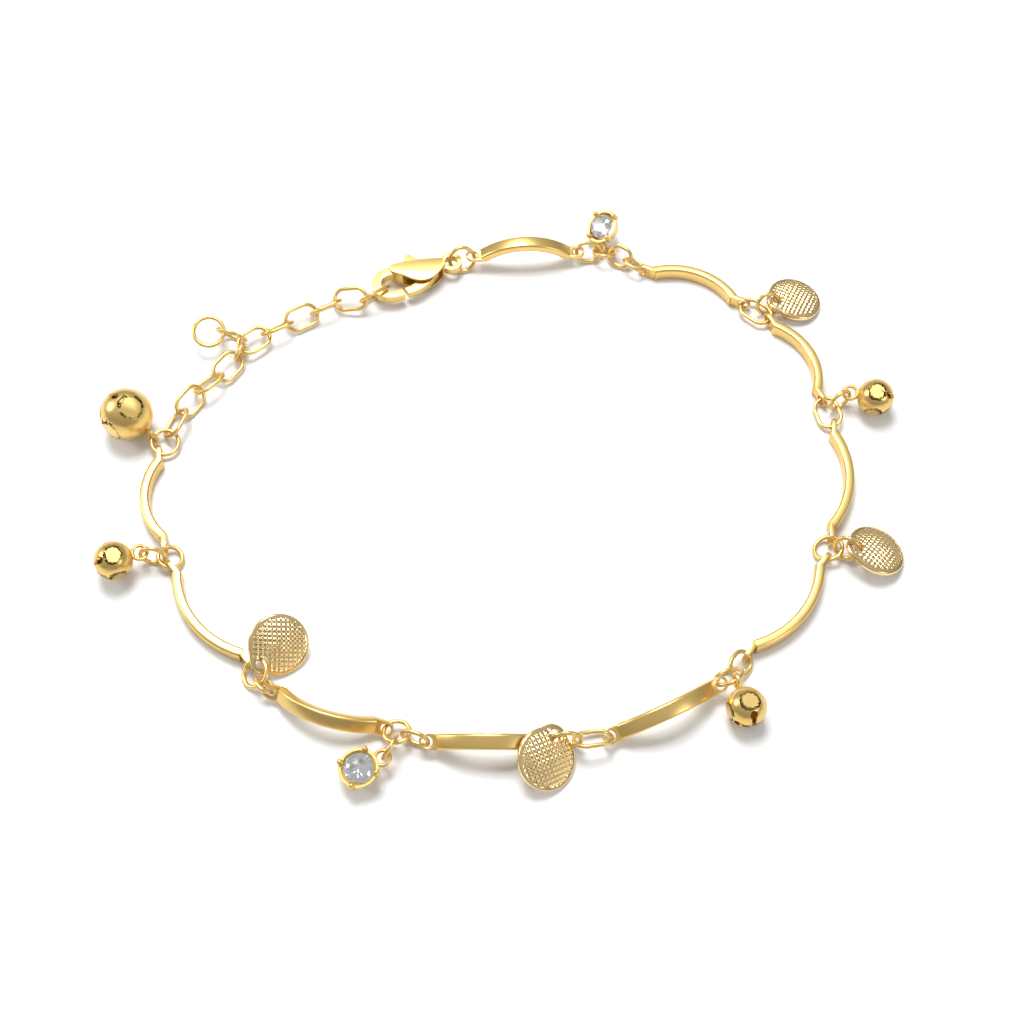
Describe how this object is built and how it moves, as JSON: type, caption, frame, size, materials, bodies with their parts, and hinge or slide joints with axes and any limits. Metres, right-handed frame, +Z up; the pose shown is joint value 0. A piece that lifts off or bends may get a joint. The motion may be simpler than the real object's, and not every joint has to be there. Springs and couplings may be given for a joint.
{
  "type": "charm anklet",
  "caption": "Gold anklet of bowed bars and links with hammered disc, bell and set stone charms, an extender chain and a lobster clasp with a sprung lever.",
  "frame": {"origin": "under the middle of the bounding box, on the table that the anklet lies on", "axes": "+Z up from the table, +X along the longer way of the loop with the clasp on the +Y side, +Y across"},
  "size_m": [0.0928, 0.0774, 0.0061],
  "materials": {
    "gold": "polished yellow gold",
    "stone": "clear, cut and polished"
  },
  "bodies": {
    "root": {"clasp_body": "gold", "clasp_ring": "gold", "bar_1": "gold", "link_1a": "gold", "ring_1": "gold", "link_1b": "gold", "link_1c": "gold", "bar_2": "gold", "link_2": "gold", "bar_3": "gold", "link_3": "gold", "bar_4": "gold", "ring_4": "gold", "bar_5": "gold", "link_5": "gold", "ring_5": "gold", "bar_6": "gold", "link_6": "gold", "ring_6": "gold", "bar_7": "gold", "link_7": "gold", "ring_7": "gold", "bar_8": "gold", "link_8": "gold", "ring_8": "gold", "bar_9": "gold", "link_9": "gold", "bar_10": "gold", "ring_10": "gold", "extender_1": "gold", "extender_2": "gold", "extender_3": "gold", "extender_4": "gold", "extender_5": "gold", "extender_6": "gold", "extender_7": "gold", "extender_8": "gold", "extender_9": "gold", "extender_10": "gold", "extender_11": "gold", "setting_1": "gold", "disc_ring_1": "gold", "disc_1": "gold", "bell_ring_1": "gold", "bell_1": "gold", "disc_ring_2": "gold", "disc_2": "gold", "bell_2": "gold", "disc_3": "gold", "setting_ring_2": "gold", "setting_2": "gold", "disc_4": "gold", "bell_ring_3": "gold", "bell_3": "gold", "big_bell": "gold", "tail_link": "gold", "tail_ring": "gold", "stone_1": "stone", "stone_2": "stone"},
    "lever": {"clasp_lever": "gold"}
  },
  "joints": [
    {"name": "clasp_lever", "type": "hinge", "parent": "root", "child": "lever", "pos_m": [-0.0086, 0.02976, 0.0014], "axis": [0, 0, -1], "range_deg": [0, 18], "stiffness_Nm_per_rad": 0.004, "springref_deg": -20.05}
  ]
}
